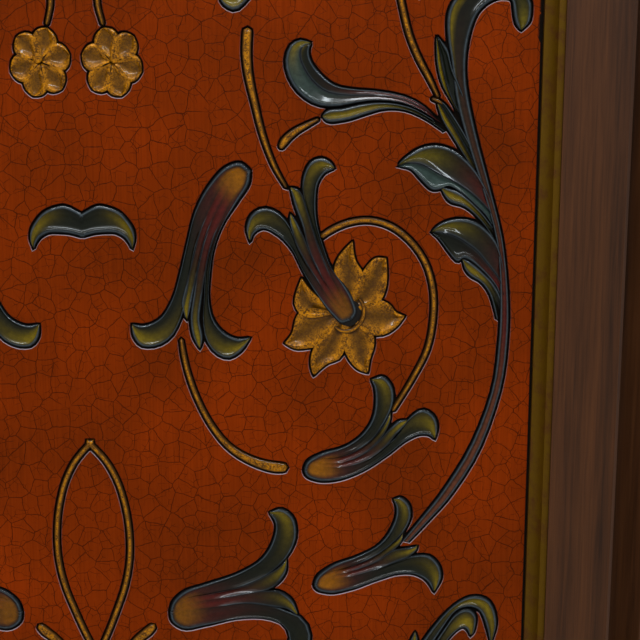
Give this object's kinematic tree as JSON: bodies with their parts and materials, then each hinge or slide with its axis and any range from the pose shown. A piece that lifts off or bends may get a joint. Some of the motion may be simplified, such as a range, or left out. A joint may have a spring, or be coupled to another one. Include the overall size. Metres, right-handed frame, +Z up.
{
  "type": "folding partition screen",
  "caption": "Folding partition screen of hinged wooden frames holding lacquered boards carved with acanthus scrollwork, with gilt slips, plain wooden backs and metal glides.",
  "frame": {"origin": "middle of the bounding box at floor level, under the middle panel", "axes": "+Z up, X along the middle panel's width, -Y out of its carved front"},
  "size_m": [1.4858, 0.7612, 1.814],
  "materials": {
    "frame_wood": "dark brown lacquer, rubbed",
    "lacquered_board": "dark red-orange lacquer with crackle, painted and gilt carving",
    "gilt_wood": "worn gilding",
    "backing_wood": "thin stained board",
    "hinge_brass": "aged brass",
    "pin_steel": "dull steel",
    "glide_steel": "dull steel"
  },
  "bodies": {
    "middle_panel": {"middle_left_stile": "frame_wood", "middle_right_stile": "frame_wood", "middle_top_rail": "frame_wood", "middle_bottom_rail": "frame_wood", "middle_carved_board": "lacquered_board", "middle_gilt_slip": "gilt_wood", "middle_backing": "backing_wood", "middle_back_beads": "frame_wood", "middle_foot_glides": "glide_steel", "left_hinge_middle_leaves": "hinge_brass", "left_hinge_pins": "pin_steel", "right_hinge_middle_leaves": "hinge_brass", "right_hinge_pins": "pin_steel"},
    "left_panel": {"left_left_stile": "frame_wood", "left_right_stile": "frame_wood", "left_top_rail": "frame_wood", "left_bottom_rail": "frame_wood", "left_carved_board": "lacquered_board", "left_gilt_slip": "gilt_wood", "left_backing": "backing_wood", "left_back_beads": "frame_wood", "left_foot_glides": "glide_steel", "left_hinge_outer_leaves": "hinge_brass"},
    "right_panel": {"right_left_stile": "frame_wood", "right_right_stile": "frame_wood", "right_top_rail": "frame_wood", "right_bottom_rail": "frame_wood", "right_carved_board": "lacquered_board", "right_gilt_slip": "gilt_wood", "right_backing": "backing_wood", "right_back_beads": "frame_wood", "right_foot_glides": "glide_steel", "right_hinge_outer_leaves": "hinge_brass"}
  },
  "joints": [
    {"name": "left_fold", "type": "hinge", "parent": "middle_panel", "child": "left_panel", "pos_m": [-0.2865, -0.0168, 0], "axis": [0, 0, 1], "range_deg": [-40, 140]},
    {"name": "right_fold", "type": "hinge", "parent": "middle_panel", "child": "right_panel", "pos_m": [0.2865, 0.0168, 0], "axis": [0, 0, 1], "range_deg": [-40, 140]}
  ]
}
